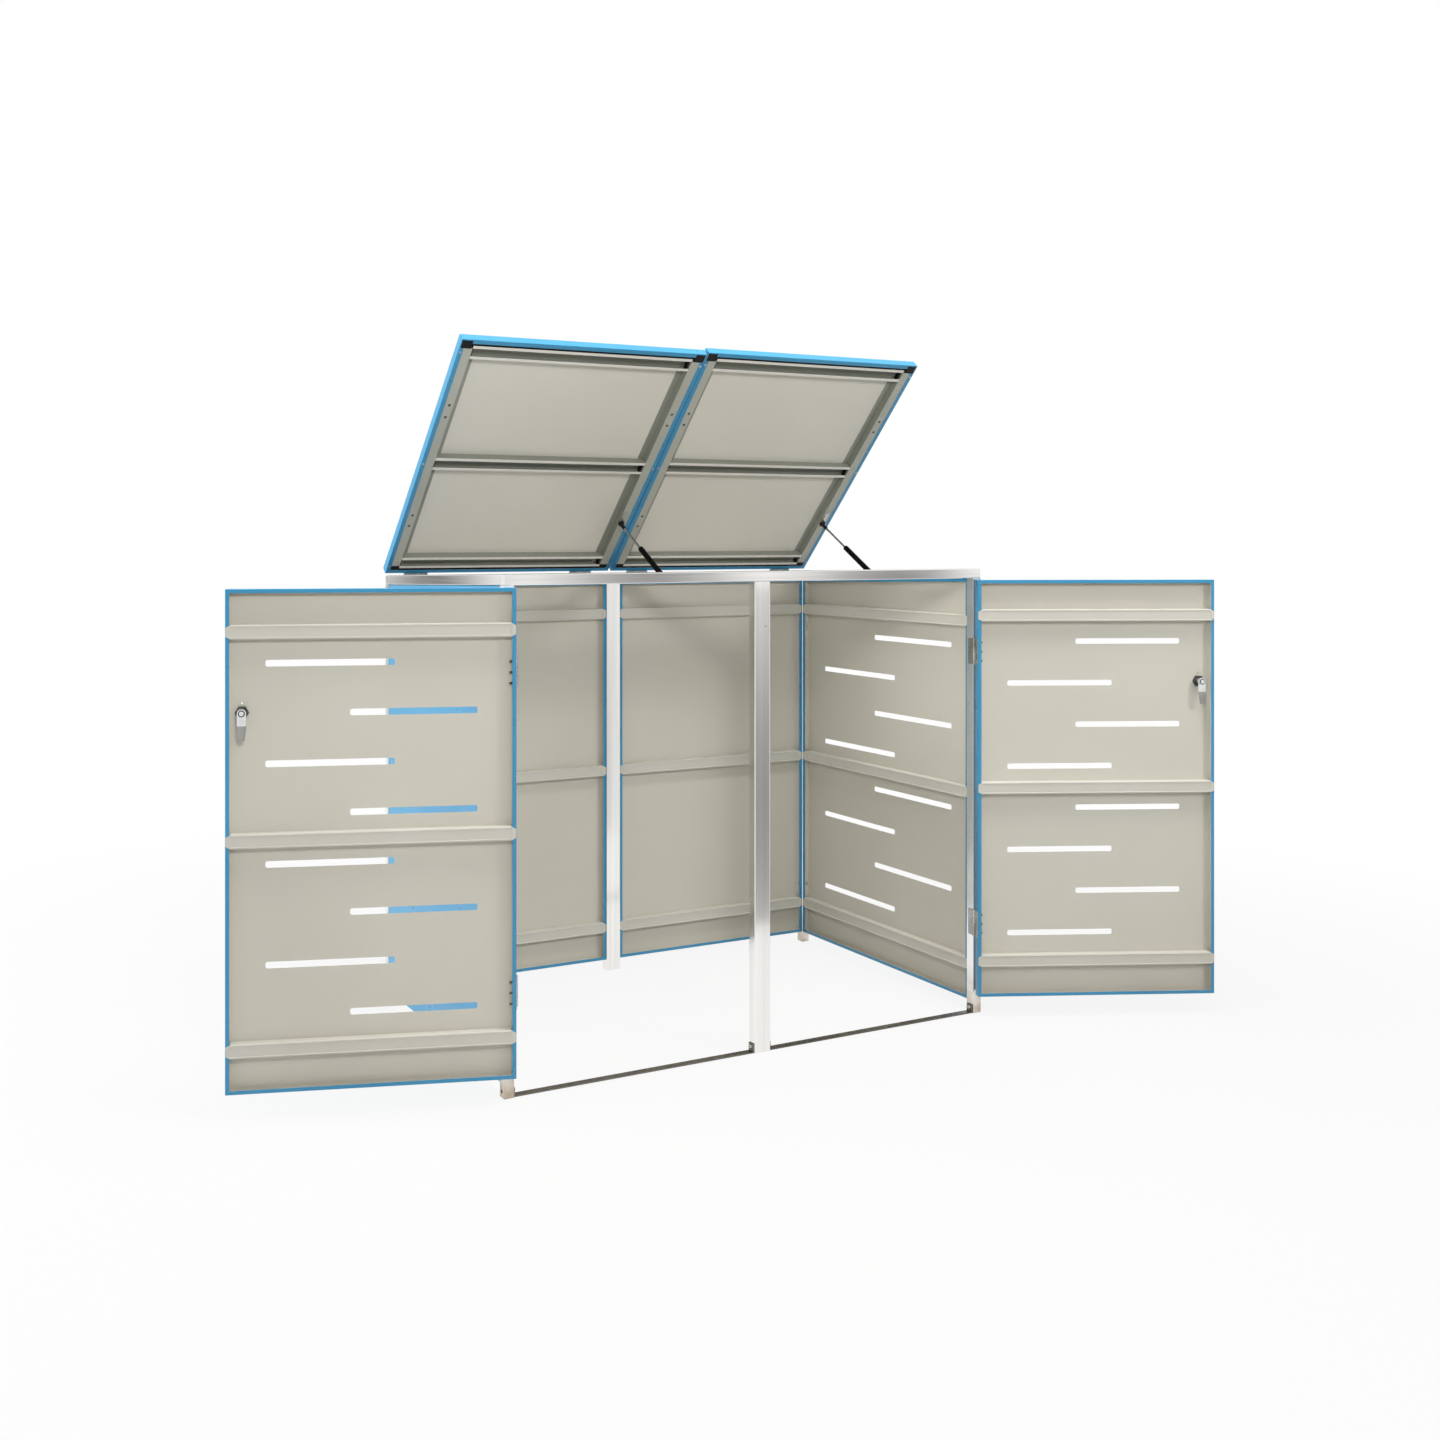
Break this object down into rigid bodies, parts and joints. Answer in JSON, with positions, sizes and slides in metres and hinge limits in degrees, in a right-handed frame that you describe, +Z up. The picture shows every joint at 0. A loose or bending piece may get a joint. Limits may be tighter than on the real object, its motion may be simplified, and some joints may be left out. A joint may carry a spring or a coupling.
{
  "type": "wheelie bin store",
  "caption": "Garden store for wheelie bins: a polished square-tube frame with slotted blue sheet panels, lockable outward-opening doors, and lids held up on gas struts.",
  "frame": {"origin": "on the ground under the middle of the front mid post", "axes": "+X to the right seen from the front, +Y towards the back, +Z up"},
  "size_m": [2.5222, 1.0742, 1.7451],
  "materials": {
    "stainless_tube": "polished stainless steel",
    "blue_sheet": "satin blue coat outside, grey-beige coat inside",
    "grey_channel": "satin grey-beige coat",
    "plated_steel": "bright plated",
    "lock_chrome": "polished",
    "black_plastic": "moulded",
    "seal_rubber": "matt",
    "strut_cylinder": "gloss black coat",
    "strut_rod": "ground and plated"
  },
  "bodies": {
    "frame": {"front_left_post": "stainless_tube", "front_mid_post": "stainless_tube", "front_right_post": "stainless_tube", "back_left_post": "stainless_tube", "back_mid_post": "stainless_tube", "back_right_post": "stainless_tube", "front_beam": "stainless_tube", "back_beam": "stainless_tube", "left_side_rail": "stainless_tube", "right_side_rail": "stainless_tube", "mid_rail": "stainless_tube", "foot_plugs": "black_plastic", "floor_strips": "stainless_tube", "floor_strip_bolts": "plated_steel", "left_side_panel": "blue_sheet", "right_side_panel": "blue_sheet", "left_back_panel": "blue_sheet", "right_back_panel": "blue_sheet", "fixed_panel_rails": "grey_channel", "fixed_panel_screws": "plated_steel", "post_hinge_leaves": "plated_steel", "door_hinge_pins": "plated_steel", "beam_hinge_leaves": "plated_steel", "lid_hinge_pins": "plated_steel", "rail_strut_brackets": "plated_steel"},
    "left_door": {"left_door": "blue_sheet", "left_door_rails": "grey_channel", "left_door_hinge_leaves": "plated_steel", "left_lock_barrel": "lock_chrome", "left_lock_nut": "plated_steel"},
    "left_lock": {"left_lock_plug": "lock_chrome", "left_lock_cam": "plated_steel"},
    "left_lid": {"left_lid": "blue_sheet", "left_lid_channels": "grey_channel", "left_lid_blocks": "black_plastic", "left_lid_seals": "seal_rubber", "left_lid_rivets": "plated_steel", "left_lid_strut_bracket": "plated_steel", "left_lid_hinge_leaves": "plated_steel"},
    "left_strut_cylinder_body": {"left_strut_cylinder": "strut_cylinder"},
    "left_strut_rod_body": {"left_strut_rod": "strut_rod", "left_strut_socket": "black_plastic"},
    "right_door": {"right_door": "blue_sheet", "right_door_rails": "grey_channel", "right_door_hinge_leaves": "plated_steel", "right_lock_barrel": "lock_chrome", "right_lock_nut": "plated_steel"},
    "right_lock": {"right_lock_plug": "lock_chrome", "right_lock_cam": "plated_steel"},
    "right_lid": {"right_lid": "blue_sheet", "right_lid_channels": "grey_channel", "right_lid_blocks": "black_plastic", "right_lid_seals": "seal_rubber", "right_lid_rivets": "plated_steel", "right_lid_strut_bracket": "plated_steel", "right_lid_hinge_leaves": "plated_steel"},
    "right_strut_cylinder_body": {"right_strut_cylinder": "strut_cylinder"},
    "right_strut_rod_body": {"right_strut_rod": "strut_rod", "right_strut_socket": "black_plastic"}
  },
  "joints": [
    {"name": "left_door_hinge", "type": "hinge", "parent": "frame", "child": "left_door", "pos_m": [-0.6625, -0.017, 0.6], "axis": [0, 0, 1], "range_deg": [-0.5, 197]},
    {"name": "right_door_hinge", "type": "hinge", "parent": "frame", "child": "right_door", "pos_m": [0.6625, -0.017, 0.6], "axis": [0, 0, 1], "range_deg": [-157, 40.5]},
    {"name": "left_lock_turn", "type": "hinge", "parent": "left_door", "child": "left_lock", "pos_m": [-1.2376, 0.15412, 0.873], "axis": [0.2924, 0.9563, 0], "range_deg": [0, 90]},
    {"name": "right_lock_turn", "type": "hinge", "parent": "right_door", "child": "right_lock", "pos_m": [1.21304, -0.25558, 0.873], "axis": [-0.3907, -0.9205, 0], "range_deg": [0, 90]},
    {"name": "left_lid_hinge", "type": "hinge", "parent": "frame", "child": "left_lid", "pos_m": [-0.347, 0.7725, 1.15], "axis": [1, 0, 0], "range_deg": [0, 44.93]},
    {"name": "left_strut_turn", "type": "hinge", "parent": "frame", "child": "left_strut_cylinder_body", "pos_m": [-0.0424, 0.3855, 1.145], "axis": [1, 0, 0], "range_deg": [-32, 0]},
    {"name": "left_strut_slide", "type": "slide", "parent": "left_strut_cylinder_body", "child": "left_strut_rod_body", "axis": [0, 0.8525, 0.5227], "range_m": [-0.09667, 0]},
    {"name": "right_lid_hinge", "type": "hinge", "parent": "frame", "child": "right_lid", "pos_m": [0.347, 0.7725, 1.15], "axis": [1, 0, 0], "range_deg": [0, 45.63]},
    {"name": "right_strut_turn", "type": "hinge", "parent": "frame", "child": "right_strut_cylinder_body", "pos_m": [0.6516, 0.3855, 1.145], "axis": [1, 0, 0], "range_deg": [-32.13, 0]},
    {"name": "right_strut_slide", "type": "slide", "parent": "right_strut_cylinder_body", "child": "right_strut_rod_body", "axis": [0, 0.8513, 0.5247], "range_m": [-0.09909, 0]}
  ],
  "couplings": [
    {"joint": "left_strut_turn", "follows": "left_lid_hinge", "ratio": -0.71115},
    {"joint": "left_strut_slide", "follows": "left_lid_hinge", "m_per_rad": -0.12302},
    {"joint": "right_strut_turn", "follows": "right_lid_hinge", "ratio": -0.70314},
    {"joint": "right_strut_slide", "follows": "right_lid_hinge", "m_per_rad": -0.12418}
  ]
}
